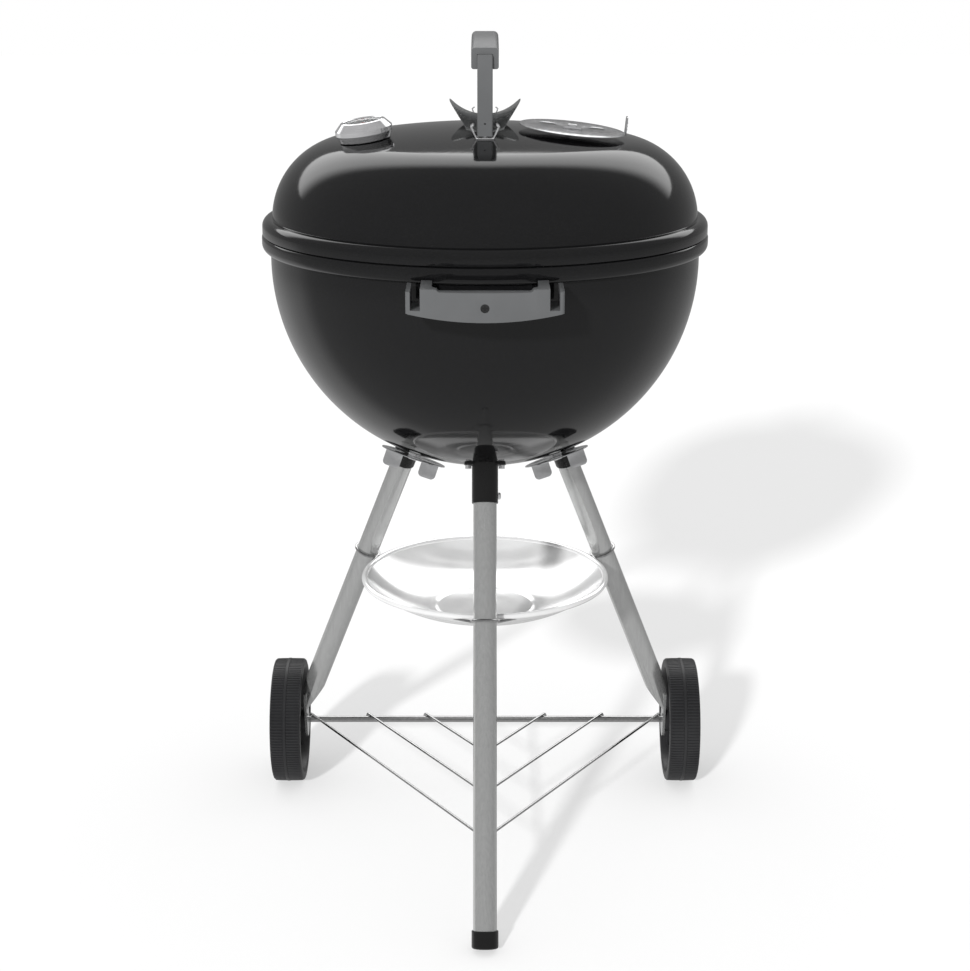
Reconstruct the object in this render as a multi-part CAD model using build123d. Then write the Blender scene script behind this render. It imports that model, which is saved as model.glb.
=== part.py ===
from build123d import *
import os
from math import asin, atan2, cos, degrees, radians, sin, sqrt, tan

# Kettle charcoal grill. Millimetres, +Z up, the origin at floor level in the middle of the footprint.
# -Y is the front, where the single foot leg stands; the two wheels are at the back.

# ---------------------------------------------------------------- driving dimensions
SHEET = 1.2                    # enamelled steel of the bowl and the lid
FIT = 0.05                     # radial running clearance of a pin in its hole
KETTLE_Y = 8.0                 # the kettle's axis stands this far behind the origin

# bowl: a base arc on the axis, a tangent side arc, a short upright wall and a rolled rim
BOWL_NADIR_Z = 459.8
BOWL_BASE_RADIUS = 245.2
BOWL_WALL_RADIUS = 235.9
BOWL_WALL_Z = 692.5            # height where the side arc becomes upright
RIM_RADIUS = 245.2
RIM_TOP_Z = 721.0
RIM_HEIGHT = 18.0
VENT_HOLE_RADIUS = 7.0
VENT_CIRCLE_RADIUS = 20.0

# lid: a shallow dome, a tangent shoulder arc, an upright wall and an outward flange
LID_TOP_Z = 836.7
LID_DOME_RADIUS = 900.0
LID_SHOULDER_RADIUS = 88.0
LID_WALL_RADIUS = 233.4
LID_HEM_Z = 721.6              # lowest edge of the lid, just above the rim
FLANGE_TOP_Z = 738.6
FLANGE_RADIUS = 244.5

# legs: three straight tubes a third of a turn apart, leaning outwards
TUBE_RADIUS = 12.7
TUBE_WALL = 1.2
LEG_LEAN = 23.66               # degrees from upright
LEG_REF_Z = 518.0              # the leg's axis passes this height at this radius
LEG_REF_RADIUS = 77.34
LEG_AZIMUTH = {"front": -90.0, "right": 30.0, "left": 150.0}
SOCKET_RADIUS = 14.3
SOCKET_LENGTH = 43.5
WING_SPAN = 45.4
WING_WIDTH = 15.0

# wheels and axle
WHEEL_RADIUS = 77.5
WHEEL_INNER_X = 227.8
WHEEL_OUTER_X = 265.3
AXLE_RADIUS = 4.0
TAB_THICKNESS = 3.0
TAB_WIDTH = 27.0

# foot cap on the front leg
CAP_RADIUS = 14.3
CAP_LENGTH = 19.0
CAP_EDGE = 2.5

# wire shelf
SHELF_WIRE = 1.6               # wire radius
SHELF_HALF_WIDTHS = (218.4, 145.6, 72.8)   # where each V's arms cross the axle
SHELF_SLOPE = 0.642            # sideways run of an arm for each unit towards the front

# ash pan and its clips
PAN_RADIUS = 143.3
PAN_RIM_Z = 320.7
PAN_FLOOR_Z = 281.0
PAN_FLOOR_RADIUS = 55.0
PAN_SHEET = 1.2
CLIP_WIRE = 1.6

# bowl handles
HANDLE_HALF = 77.0
HANDLE_FRONT = 298.0           # radius of its outer face about the kettle's axis
HANDLE_BACK = 249.0
HANDLE_TOP_Z = 708.5
HANDLE_BOTTOM_Z = 677.0
HANDLE_SCREW_Z = 691.0

# lid handle
ARM_Y = 97.0                   # the arms stand this far in front of and behind the centre
ARM_WIDTH = 16.0
ARM_DEPTH = 10.0
GRIP_WIDTH = 28.6
GRIP_LOW_Z = 901.3
GRIP_END_TOP_Z = 923.0
GRIP_MID_TOP_Z = 934.5

# dampers
LID_DAMPER_RADIUS = 57.0
LID_DAMPER_XY = (93.0, -33.0)
LID_DAMPER_LIFT = 3.4          # its underside above the lid at its centre
LID_DAMPER_HOLE = 9.0
LID_HOLE_CIRCLE = 30.0
LID_HOLE_AZIMUTHS = (25.0, 150.0)
BOWL_DAMPER_RADIUS = 37.0
BOWL_DAMPER_R = 91.0           # distance of each rivet from the kettle's axis
BOWL_DAMPER_AZIMUTH = {"rear": 90.0, "left": 210.0, "right": 330.0}
DAMPER_SHEET = 1.0

# thermometer
GAUGE_XY = (-127.0, -56.0)
GAUGE_RADIUS = 30.5
GAUGE_HEIGHT = 20.5

# grates
GRATE_WIRE = 2.5
COOKING_GRATE_Z = 690.0
COOKING_GRATE_RADIUS = 229.0
CHARCOAL_GRATE_Z = 545.0
CHARCOAL_GRATE_RADIUS = 176.0

os.makedirs("parts", exist_ok=True)


# ---------------------------------------------------------------- helpers
def write(name, shape):
    """Write one node, as a single solid or a group of separate solids.

    Every node is drawn about the kettle's axis and moved to its place here.
    """
    solids = (Pos(0, KETTLE_Y, 0) * shape).solids()
    node = solids[0] if len(solids) == 1 else Compound(children=list(solids))
    export_step(node, f"parts/{name}.step")


def at(x, z):
    """A point of a profile drawn in the plane y = 0."""
    return (x, 0, z)


def arc_between(centre, radius, start, end):
    """A profile arc about centre; the angles are in degrees from +X towards +Z."""
    def point(angle):
        return at(centre[0] + radius * cos(radians(angle)), centre[1] + radius * sin(radians(angle)))
    return ThreePointArc(point(start), point((start + end) / 2), point(end))


def spin(*edges):
    """Revolve a closed profile about the kettle's axis."""
    return revolve(make_face(list(edges)), Axis.Z, 360)


def spin_box(r_in, r_out, z_low, z_high):
    """A plain ring, or a disc where r_in is 0."""
    ring = Pos(0, 0, z_low) * Cylinder(r_out, z_high - z_low, align=(Align.CENTER, Align.CENTER, Align.MIN))
    if r_in > 0:
        ring -= Pos(0, 0, z_low) * Cylinder(r_in, z_high - z_low,
                                            align=(Align.CENTER, Align.CENTER, Align.MIN))
    return ring


def rod(start, end, radius):
    """A round bar from one point to another."""
    line = Vector(*end) - Vector(*start)
    return Plane(origin=start, z_dir=line) * Cylinder(
        radius, line.length, align=(Align.CENTER, Align.CENTER, Align.MIN))


def tube_z(radius, low, high):
    """A cylinder along a local Z, from low to high."""
    return Pos(0, 0, low) * Cylinder(radius, high - low, align=(Align.CENTER, Align.CENTER, Align.MIN))


def hexagon_z(across_flats, low, high):
    """A hexagonal prism along a local Z."""
    flat = RegularPolygon(across_flats / 2, 6, major_radius=False)
    return Pos(0, 0, low) * extrude(flat, high - low)


def turned(shape, azimuth):
    """The shape turned about the kettle's axis from the +X side to an azimuth."""
    return Rot(0, 0, azimuth) * shape


# ---------------------------------------------------------------- bowl and lid profiles
def bowl_outline(inset):
    """The side of the bowl from its lowest point to the rim, moved in by inset.

    Returns the edges and the profile's last point.
    """
    base = BOWL_BASE_RADIUS
    wall = BOWL_WALL_RADIUS
    base_centre_z = BOWL_NADIR_Z + base
    drop = base_centre_z - BOWL_WALL_Z
    side = (wall ** 2 + drop ** 2 - base ** 2) / (2 * (wall - base))
    side_centre = (wall - side, BOWL_WALL_Z)
    turn = degrees(atan2(side_centre[0], drop))
    edges = [arc_between((0, base_centre_z), base - inset, -90, -90 + turn),
             arc_between(side_centre, side - inset, -90 + turn, 0)]
    return edges, at(wall - inset, BOWL_WALL_Z)


def bowl_filled(inset, top_z):
    """The bowl's outer shape as a full solid, moved in by inset, up to a height."""
    edges, wall_point = bowl_outline(inset)
    top = at(wall_point[0], top_z)
    return spin(*edges, Line(wall_point, top), Line(top, at(0, top_z)),
                Line(at(0, top_z), at(0, BOWL_NADIR_Z + inset)))


def bowl_surface_z(r):
    """Height of the bowl's outer surface at a radius on its side arc."""
    drop = BOWL_NADIR_Z + BOWL_BASE_RADIUS - BOWL_WALL_Z
    side = (BOWL_WALL_RADIUS ** 2 + drop ** 2 - BOWL_BASE_RADIUS ** 2) / (
        2 * (BOWL_WALL_RADIUS - BOWL_BASE_RADIUS))
    return BOWL_WALL_Z - sqrt(side ** 2 - (r - BOWL_WALL_RADIUS + side) ** 2)


def lid_corner():
    """Centre of the shoulder arc, and the angle from upright where it meets the dome."""
    reach = LID_WALL_RADIUS - LID_SHOULDER_RADIUS
    rest = LID_DOME_RADIUS - LID_SHOULDER_RADIUS
    turn = asin(reach / rest)
    return (reach, LID_TOP_Z - LID_DOME_RADIUS + rest * cos(turn)), degrees(turn)


def lid_filled(inset, low_z):
    """The lid's outer shape as a full solid, moved in by inset, down to a height."""
    centre, turn = lid_corner()
    wall = LID_WALL_RADIUS - inset
    skirt_z = centre[1] - 20
    full = spin(arc_between((0, LID_TOP_Z - LID_DOME_RADIUS), LID_DOME_RADIUS - inset, 90, 90 - turn),
                arc_between(centre, LID_SHOULDER_RADIUS - inset, 90 - turn, 0),
                Line(at(wall, centre[1]), at(wall, skirt_z)),
                Line(at(wall, skirt_z), at(0, skirt_z)),
                Line(at(0, skirt_z), at(0, LID_TOP_Z - inset)))
    return full - spin_box(0, 2 * wall, skirt_z - 1, low_z)


def lid_surface_z(r):
    """Height of the lid's outer surface on its dome."""
    return LID_TOP_Z - LID_DOME_RADIUS + sqrt(LID_DOME_RADIUS ** 2 - r ** 2)


def lid_plane(x, y):
    """A plane on the lid's dome with its normal out of the lid and its X towards +X."""
    origin = Vector(x, y, lid_surface_z(sqrt(x * x + y * y)))
    normal = origin - Vector(0, 0, LID_TOP_Z - LID_DOME_RADIUS)
    normal = normal.normalized()
    return Plane(origin=origin, x_dir=Vector(0, 1, 0).cross(normal), z_dir=normal)


# ---------------------------------------------------------------- frames of the legs
def leg_direction():
    """Unit vector down the leg on the +X side."""
    return Vector(sin(radians(LEG_LEAN)), 0, -cos(radians(LEG_LEAN)))


def leg_start():
    """Where the axis of a leg on the +X side leaves the bowl's outer surface."""
    way = leg_direction()
    point = Vector(LEG_REF_RADIUS, 0, LEG_REF_Z)
    for _ in range(60):
        gap = point.Z - bowl_surface_z(point.X)
        point = point + way * (gap / cos(radians(LEG_LEAN)) * 0.8)
    return point


def leg_plane():
    """Z runs down the leg on the +X side, X is outwards and Y is tangential."""
    return Plane(origin=leg_start(), x_dir=(cos(radians(LEG_LEAN)), 0, sin(radians(LEG_LEAN))),
                 z_dir=leg_direction())


def leg_along(height):
    """Distance down the leg from the bowl to a height of its axis."""
    return (leg_start().Z - height) / cos(radians(LEG_LEAN))


def leg_radius_at(height):
    """Distance of the leg's axis from the kettle's axis at a height."""
    return LEG_REF_RADIUS + (LEG_REF_Z - height) * tan(radians(LEG_LEAN))


AXLE_Z = WHEEL_RADIUS
AXLE_Y = leg_radius_at(AXLE_Z) * sin(radians(LEG_AZIMUTH["right"]))
BOLT_OFFSET = 18.2             # bolts of a socket, each side of its tube
CAP_FLAT_DEPTH = 1.0           # how much of the cap's rounded edge is worn flat by the floor
CAP_CENTRE_Z = (-CAP_FLAT_DEPTH + CAP_EDGE * (1 - cos(radians(LEG_LEAN)))
                + (CAP_RADIUS - CAP_EDGE) * sin(radians(LEG_LEAN)))


def socket_bolt_holes(radius):
    """Cutters through the bowl and the wings for one socket's two bolts."""
    return [leg_plane() * Pos(0, side * BOLT_OFFSET, 0) * tube_z(radius, -8, 8) for side in (-1, 1)]


# ---------------------------------------------------------------- bowl
def bowl_damper_plane():
    """On the bowl's outer surface at a rivet on the +X side; Z points out of the bowl."""
    drop = BOWL_NADIR_Z + BOWL_BASE_RADIUS - BOWL_WALL_Z
    side = (BOWL_WALL_RADIUS ** 2 + drop ** 2 - BOWL_BASE_RADIUS ** 2) / (
        2 * (BOWL_WALL_RADIUS - BOWL_BASE_RADIUS))
    origin = Vector(BOWL_DAMPER_R, 0, bowl_surface_z(BOWL_DAMPER_R))
    normal = (origin - Vector(BOWL_WALL_RADIUS - side, 0, BOWL_WALL_Z)).normalized()
    return Plane(origin=origin, x_dir=Vector(0, 1, 0).cross(normal), z_dir=normal)


def vent_holes(plane, low, high, turn):
    """Cutters for the four vent holes under a bowl damper turned about its rivet."""
    return [plane * Rot(0, 0, turn + 90 * step) * Pos(VENT_CIRCLE_RADIUS, 0, 0) * tube_z(VENT_HOLE_RADIUS, low, high)
            for step in range(4)]


def rim_profile():
    """The rolled rim: a hollow bead outside the wall, open at its curled lower end."""
    low = RIM_TOP_Z - RIM_HEIGHT
    wall = BOWL_WALL_RADIUS
    bottom_round = 8.0
    top_round = 4.0

    def bead(inset):
        left = wall - SHEET / 2
        right = RIM_RADIUS - inset
        bottom = low + inset
        top = RIM_TOP_Z - inset
        return spin(
            Line(at(left, bottom), at(right - bottom_round + inset, bottom)),
            arc_between((right - bottom_round + inset, bottom + bottom_round - inset),
                        bottom_round - inset, -90, 0),
            Line(at(right, bottom + bottom_round - inset), at(right, top - top_round + inset)),
            arc_between((right - top_round + inset, top - top_round + inset), top_round - inset, 0, 90),
            Line(at(right - top_round + inset, top), at(left, top)),
            Line(at(left, top), at(left, bottom)))

    curl_gap = 0.9
    outer = bead(0)
    hollow = bead(SHEET) - spin_box(0, wall, low, RIM_TOP_Z)
    slot = spin_box(wall, wall + curl_gap, low - 1, low + SHEET + 1)
    return outer - hollow - slot


def make_bowl():
    shell = bowl_filled(0, RIM_TOP_Z) - bowl_filled(SHEET, RIM_TOP_Z)
    bowl = shell + rim_profile()
    cutters = []
    for azimuth in LEG_AZIMUTH.values():
        cutters += [turned(hole, azimuth) for hole in socket_bolt_holes(2.2)]
    for name, azimuth in BOWL_DAMPER_AZIMUTH.items():
        plane = bowl_damper_plane()
        holes = vent_holes(plane, -8, 8, BOWL_DAMPER_TURN[name])
        holes.append(plane * tube_z(3.05, -8, 8))
        cutters += [turned(hole, azimuth) for hole in holes]
    return bowl - cutters


# ---------------------------------------------------------------- grates and their rests
REST_AZIMUTHS = (45, 135, 225, 315)


def make_grate_rests():
    """Four bent tabs welded inside the bowl wall; each has a foot for the grate's outer ring."""
    rests = []
    top = COOKING_GRATE_Z - GRATE_WIRE - 0.2
    inner = BOWL_WALL_RADIUS - SHEET
    for azimuth in REST_AZIMUTHS:
        shelf = Pos(inner - 7, 0, top - 1) * Box(14, 18, 2)
        back = Pos(inner - 1.6, 0, top - 11) * Box(3.2, 18, 22)
        rests.append(turned(shelf + back, azimuth) & bowl_filled(SHEET, RIM_TOP_Z))
    return Compound(children=[rest.solids()[0] for rest in rests])


def wire_grate(radius, height, spacing, bar_radius, ring_radius):
    """A round grate: parallel bars welded on a ring and two cross bars below them."""
    ring = Pos(0, 0, height) * Torus(radius - ring_radius, ring_radius)
    count = int((radius - 14) / spacing)
    weld = 0.7
    bars = []
    for step in range(-count, count + 1):
        x = step * spacing
        reach = sqrt((radius - ring_radius + 0.8) ** 2 - x * x)
        z = height + ring_radius - weld
        bars.append(rod((x, -reach, z), (x, reach, z), bar_radius))
    low = height + ring_radius - 2 * bar_radius
    for y in (-radius * 0.42, radius * 0.42):
        reach = sqrt((radius - ring_radius) ** 2 - y * y)
        bars.append(rod((-reach, y, low), (reach, y, low), bar_radius))
    return ring + bars


def make_cooking_grate():
    return wire_grate(COOKING_GRATE_RADIUS, COOKING_GRATE_Z, 19.0, 1.8, GRATE_WIRE)


def make_grate_handles():
    """Two wire bails welded on the cooking grate's ring."""
    grip = 42.0
    reach = sqrt((COOKING_GRATE_RADIUS - GRATE_WIRE) ** 2 - grip ** 2)
    bails = []
    for side in (-1, 1):
        top_x = side * (COOKING_GRATE_RADIUS - 20)
        points = [(side * reach, -grip, COOKING_GRATE_Z + 1), (top_x, -grip, COOKING_GRATE_Z + 24),
                  (top_x, grip, COOKING_GRATE_Z + 24), (side * reach, grip, COOKING_GRATE_Z + 1)]
        path = FilletPolyline(*points, radius=7.0)
        start = Vector(*points[1]) - Vector(*points[0])
        bails.append(sweep(Plane(origin=points[0], z_dir=start) * Circle(2.2), path))
    grate = make_cooking_grate()
    return Compound(children=[(bail - grate).solids().sort_by(SortBy.VOLUME)[-1] for bail in bails])


def make_charcoal_grate():
    return wire_grate(CHARCOAL_GRATE_RADIUS, CHARCOAL_GRATE_Z, 15.0, 2.2, GRATE_WIRE)


# ---------------------------------------------------------------- sockets, legs, foot, axle
# Which side of a leg its screw is on: the front leg's faces +X, the rear legs' face the back.
SCREW_TURN = {"front": 180.0, "right": 180.0, "left": 0.0}


def make_socket(name):
    plane = leg_plane()
    outside = bowl_filled(0, RIM_TOP_Z)
    sleeve = plane * tube_z(SOCKET_RADIUS, -14, SOCKET_LENGTH)
    wing_blank = plane * Pos(0, 0, -14) * extrude(Rot(0, 0, 90) * SlotOverall(WING_SPAN, WING_WIDTH), 28)
    wing = wing_blank & bowl_filled(-2.2, RIM_TOP_Z)
    socket = sleeve + wing - outside
    socket -= plane * tube_z(TUBE_RADIUS + FIT, -20, SOCKET_LENGTH + 1)
    socket -= socket_bolt_holes(2.05)
    screw_cut = plane * Pos(0, 0, SCREW_ALONG) * Rot(0, 0, SCREW_TURN[name]) * rod((0, 0, 0), (0, 20, 0), 2.05)
    return socket - screw_cut


SCREW_ALONG = SOCKET_LENGTH - 8.0


def make_leg_screw(name):
    """Screw through one side of the socket into the leg, with a domed head."""
    plane = leg_plane() * Pos(0, 0, SCREW_ALONG) * Rot(0, 0, SCREW_TURN[name])
    shank = rod((0, 10.5, 0), (0, SOCKET_RADIUS + 0.5, 0), 2.0)
    head = rod((0, SOCKET_RADIUS + 0.15, 0), (0, SOCKET_RADIUS + 3.1, 0), 3.9)
    head = fillet(head.edges().sort_by(Axis.Y)[-1], 1.9)
    slot = Pos(0, SOCKET_RADIUS + 3.0, 0) * Box(0.9, 1.4, 5.0)
    return plane * (shank + head - slot)


def make_socket_bolts():
    bolts = []
    for azimuth in LEG_AZIMUTH.values():
        for side in (-1, 1):
            bolt = tube_z(2.0, -5.6, 2.4) + hexagon_z(6.8, 1.95, 5.2) + hexagon_z(7.5, -5.0, -2.3)
            bolts.append(turned(leg_plane() * Pos(0, side * BOLT_OFFSET, 0) * bolt, azimuth).solids()[0])
    return Compound(children=bolts)


def leg_tube(name, start, end):
    plane = leg_plane()
    tube = tube_z(TUBE_RADIUS, start, end) - tube_z(TUBE_RADIUS - TUBE_WALL, start - 1, end + 1)
    screw_hole = Pos(0, 0, SCREW_ALONG) * Rot(0, 0, SCREW_TURN[name]) * rod((0, 5, 0), (0, 20, 0), 2.05)
    return plane * (tube - screw_hole)


TUBE_TOP = 7.0                 # the tube starts this far below the bowl, inside its socket


def make_front_leg():
    end = leg_along(CAP_CENTRE_Z) - 3.5
    leg = turned(leg_tube("front", TUBE_TOP, end), LEG_AZIMUTH["front"])
    return leg - rod((0, -SPINE_END, SPINE_Z), (0, -150, SPINE_Z), SPINE_RADIUS + FIT)


def tab_outline():
    """The flat end of a rear leg, drawn in the wheel's plane: Y back and Z up."""
    slant = tan(radians(LEG_LEAN)) * sin(radians(LEG_AZIMUTH["right"]))
    top_z = 120.0
    low_z = AXLE_Z - 9.0
    half = TAB_WIDTH / 2
    centre = (AXLE_Y + (AXLE_Z - low_z) * slant, low_z)
    top = (AXLE_Y - (top_z - AXLE_Z) * slant, top_z)
    return (rod((0, centre[0], centre[1]), (TAB_THICKNESS, centre[0], centre[1]), half)
            + extrude(Plane.YZ * make_face(Polyline(
                (top[0] - half, top[1]), (top[0] + half, top[1]),
                (centre[0] + half, centre[1]), (centre[0] - half, centre[1]), close=True)), TAB_THICKNESS))


TAB_OUTER_X = WHEEL_INNER_X - 0.5
SQUASH_TOP_Z = 130.0           # a rear leg's tube starts to flatten here
SQUASH_LOW_Z = 97.0            # and is flat from here down


def make_rear_leg(name, side):
    """Straight tube pressed flat beside the wheel; its bore is open where the flat cuts it."""
    end = leg_along(AXLE_Z)
    squashed = leg_plane() * tube_z(TUBE_RADIUS, leg_along(SQUASH_TOP_Z + 14), end)
    full = turned(leg_tube(name, TUBE_TOP, end) + squashed, LEG_AZIMUTH[name])
    keep = Pos(side * (TAB_OUTER_X - 250), 0, 300) * Box(500, 800, 800)
    inner_x = TAB_OUTER_X - TAB_THICKNESS
    slope_top_x = leg_radius_at(SQUASH_TOP_Z) * cos(radians(LEG_AZIMUTH["right"])) - TUBE_RADIUS - 1
    wedge = extrude(Plane.XZ * make_face(Polyline(
        (side * inner_x, 40), (side * inner_x, SQUASH_LOW_Z), (side * slope_top_x, SQUASH_TOP_Z),
        (side * 100, SQUASH_TOP_Z), (side * 100, 40), close=True)), 250, both=True)
    tab_x = inner_x if side > 0 else -TAB_OUTER_X
    bore = turned(leg_plane() * tube_z(TUBE_RADIUS - TUBE_WALL, leg_along(SQUASH_TOP_Z + 20), end),
                  LEG_AZIMUTH[name])
    bore -= [Pos(side * 2.5, 0, 0) * wedge, Pos(0, 0, SQUASH_LOW_Z + 2 - 100) * Box(800, 800, 200)]
    leg = (full & keep) - wedge - bore + Pos(tab_x, 0, 0) * tab_outline()
    return leg - rod((side * 150, AXLE_Y, AXLE_Z), (side * 300, AXLE_Y, AXLE_Z), AXLE_RADIUS + FIT)


def make_foot_cap():
    """Moulded cap on the front leg, with a small flat where it stands on the floor."""
    bottom = leg_along(CAP_CENTRE_Z)
    cap = tube_z(CAP_RADIUS, bottom - CAP_LENGTH, bottom)
    cap = fillet(cap.edges().group_by(Axis.Z)[-1], CAP_EDGE)
    cap = fillet(cap.edges().group_by(Axis.Z)[0], 0.8)
    cap -= tube_z(TUBE_RADIUS + FIT, bottom - CAP_LENGTH - 1, bottom - 3.5)
    placed = turned(leg_plane() * cap, LEG_AZIMUTH["front"])
    return placed - Pos(0, -300, -20) * Box(200, 200, 40)


def make_axle():
    reach = WHEEL_OUTER_X - 5.0
    axle = rod((-reach, AXLE_Y, AXLE_Z), (reach, AXLE_Y, AXLE_Z), AXLE_RADIUS)
    return chamfer(axle.edges(), 0.8)


def make_hub_caps():
    """Push-on caps over the axle's two ends, outside the hubs."""
    caps = []
    for side in (-1, 1):
        dome = rod((0, 0, 0), (0, 0, 7.4), 10.5)
        dome = fillet(dome.edges().sort_by(Axis.Z)[-1], 3.2)
        dome -= tube_z(AXLE_RADIUS, -1, 5.0)
        plane = Plane(origin=(side * (WHEEL_OUTER_X - 9.0), AXLE_Y, AXLE_Z), z_dir=(side, 0, 0))
        caps.append((plane * dome).solids()[0])
    return Compound(children=caps)


def make_wheel(side):
    """Moulded wheel: tread ring, web and hub, drawn from its inner face outwards."""
    width = WHEEL_OUTER_X - WHEEL_INNER_X
    ring_in = 64.0
    hub = 15.0
    ring = tube_z(WHEEL_RADIUS, 0, width)
    ring = fillet(ring.edges(), 3.0) - tube_z(ring_in, -1, width + 1)
    web = tube_z(ring_in + 2, 14, 18)
    boss = tube_z(hub, 0, width - 9.6)
    wheel = ring + web + boss - tube_z(AXLE_RADIUS + FIT, -1, width + 1)
    plane = Plane(origin=(side * WHEEL_INNER_X, AXLE_Y, AXLE_Z), x_dir=(0, 1, 0), z_dir=(side, 0, 0))
    return plane * wheel


# ---------------------------------------------------------------- shelf, ash pan, clips
SHELF_Z = AXLE_Z + AXLE_RADIUS + SHELF_WIRE + 0.1
SPINE_RADIUS = 2.4
SPINE_Z = SHELF_Z - SHELF_WIRE - SPINE_RADIUS + 0.5
SPINE_END = leg_radius_at(SPINE_Z) + 4.0


def make_shelf():
    """Three V-shaped wires that hook over the axle, welded on a spine pinned in the front leg."""
    hook_round = 4.8
    past = AXLE_Y + AXLE_RADIUS + SHELF_WIRE + 0.6
    shelf = rod((0, AXLE_Y - 12, SPINE_Z), (0, -SPINE_END, SPINE_Z), SPINE_RADIUS)
    for half in SHELF_HALF_WIDTHS:
        apex_y = AXLE_Y - half / SHELF_SLOPE
        end_x = (past - apex_y) * SHELF_SLOPE
        points = [(-end_x, past, SHELF_Z - 12), (-end_x, past, SHELF_Z), (0, apex_y, SHELF_Z),
                  (end_x, past, SHELF_Z), (end_x, past, SHELF_Z - 12)]
        path = FilletPolyline(*points, radius=[hook_round, 10.0, hook_round])
        section = Plane(origin=points[0], z_dir=(0, 0, 1)) * Circle(SHELF_WIRE)
        shelf += sweep(section, path)
    return shelf


def make_ash_pan():
    """Shallow pressed dish with a rolled edge and a small step round its flat floor."""
    step = 1.6
    rim_wall = PAN_RADIUS - 4.0
    top_z = PAN_RIM_Z - 2.2
    mid = at(102.0, PAN_FLOOR_Z + 13.0)
    under = PAN_SHEET

    def lower(point):
        return at(point[0], point[2] - under)

    floor_edge = at(PAN_FLOOR_RADIUS, PAN_FLOOR_Z)
    step_top = at(PAN_FLOOR_RADIUS + 3, PAN_FLOOR_Z + step)
    rim_point = at(rim_wall, top_z)
    dish = spin(Line(at(0, PAN_FLOOR_Z), floor_edge), Line(floor_edge, step_top),
                ThreePointArc(step_top, mid, rim_point), Line(rim_point, lower(rim_point)),
                ThreePointArc(lower(rim_point), lower(mid), lower(step_top)),
                Line(lower(step_top), lower(floor_edge)), Line(lower(floor_edge), lower(at(0, PAN_FLOOR_Z))),
                Line(lower(at(0, PAN_FLOOR_Z)), at(0, PAN_FLOOR_Z)))
    edge_roll = Pos(0, 0, PAN_RIM_Z - 2.2) * Torus(PAN_RADIUS - 2.4, 2.4)
    return dish + edge_roll


def make_ash_clip():
    """Spring wire turned once round a leg, with two tails under the pan's edge."""
    ring_radius = TUBE_RADIUS + CLIP_WIRE + 0.02
    height = PAN_RIM_Z + 0.8
    plane = leg_plane() * Pos(0, 0, leg_along(height))
    ring = plane * Torus(ring_radius, CLIP_WIRE)
    tail_z = PAN_RIM_Z - 4.6 - CLIP_WIRE - 0.1
    inner_r = leg_radius_at(height) - (ring_radius + 0.6) * cos(radians(LEG_LEAN))
    tails = []
    for side in (-1, 1):
        root = (inner_r, side * 1.0, tail_z + 1.2)
        knee = (inner_r - 3.0, side * 14.0, tail_z)
        tip = (PAN_RADIUS - 8.0, side * 34.0, tail_z)
        path = FilletPolyline(root, knee, tip, radius=4.0)
        section = Plane(origin=root, z_dir=Vector(*knee) - Vector(*root)) * Circle(CLIP_WIRE)
        tails.append(sweep(section, path))
    return ring + tails


# ---------------------------------------------------------------- bowl handles (front, then turned)
HANDLE_DIP = 2.5               # the grip bar's top edge is this much lower between its shoulders
DIP_HALF = 47.0
STRAP_HALF = 58.0
STRAP_THICK = 3.0
STRAP_FRONT = 287.5            # outer face of the strap's cross bar, from the kettle's axis


def strap_blank(grow):
    """The U-shaped steel strap inside a handle, grown by a clearance."""
    outer = STRAP_HALF + grow
    inner = STRAP_HALF - STRAP_THICK - grow
    front = STRAP_FRONT + grow
    low, high = 686.0 - grow, 699.0 + grow
    middle_z = (low + high) / 2
    bar = Pos(0, -(front - 35), middle_z) * Box(2 * outer, 70, high - low)
    gap = Pos(0, -(front - STRAP_THICK - 2 * grow - 50), middle_z) * Box(2 * inner, 100, high - low + 2)
    return bar - gap


def make_handle_bracket():
    strap = strap_blank(0) - bowl_filled(0, RIM_TOP_Z)
    return strap - rod((0, -300, HANDLE_SCREW_Z), (0, -270, HANDLE_SCREW_Z), 2.35)


def make_handle():
    """Nylon handle: a bowed grip bar on two arms, with an open tool hook at each end."""
    height = HANDLE_TOP_Z - HANDLE_BOTTOM_Z
    outer = tube_z(HANDLE_FRONT, HANDLE_BOTTOM_Z, HANDLE_TOP_Z)
    body = outer - tube_z(HANDLE_BACK, HANDLE_BOTTOM_Z - 1, HANDLE_TOP_Z + 1)
    body &= Pos(0, -300, HANDLE_BOTTOM_Z + height / 2) * Box(2 * HANDLE_HALF, 200, height + 2)
    corners = body.edges().filter_by(Axis.Z).group_by(Axis.Y)[0]
    body = fillet(corners, 4.0)
    bow = 7.0
    bow_radius = (HANDLE_HALF ** 2 + bow ** 2) / (2 * bow)
    body &= rod((0, -400, HANDLE_BOTTOM_Z + bow_radius), (0, -150, HANDLE_BOTTOM_Z + bow_radius), bow_radius)
    dip = Pos(0, -270, HANDLE_TOP_Z + 20 - HANDLE_DIP) * Box(2 * DIP_HALF, 100, 40)
    body -= fillet(dip.edges().filter_by(Axis.Y), 4.0)
    opening = Pos(0, -(STRAP_FRONT - STRAP_THICK - 2 - 30), 690) * Box(104, 60, 60)
    opening = fillet(opening.edges().filter_by(Axis.Z), 9.0)
    body -= opening
    for side in (-1, 1):
        body -= Pos(side * 67.7, -270, 687.3 + 20) * Box(9.8, 100, 40)
        body -= Pos(side * 75.0, -270, 705.3 + 20) * Box(6, 100, 40)
    body -= strap_blank(0.15)
    body -= rod((0, -320, HANDLE_SCREW_Z), (0, -(HANDLE_FRONT - 3.2), HANDLE_SCREW_Z), 4.35)
    body -= rod((0, -320, HANDLE_SCREW_Z), (0, -260, HANDLE_SCREW_Z), 2.35)
    return body


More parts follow.
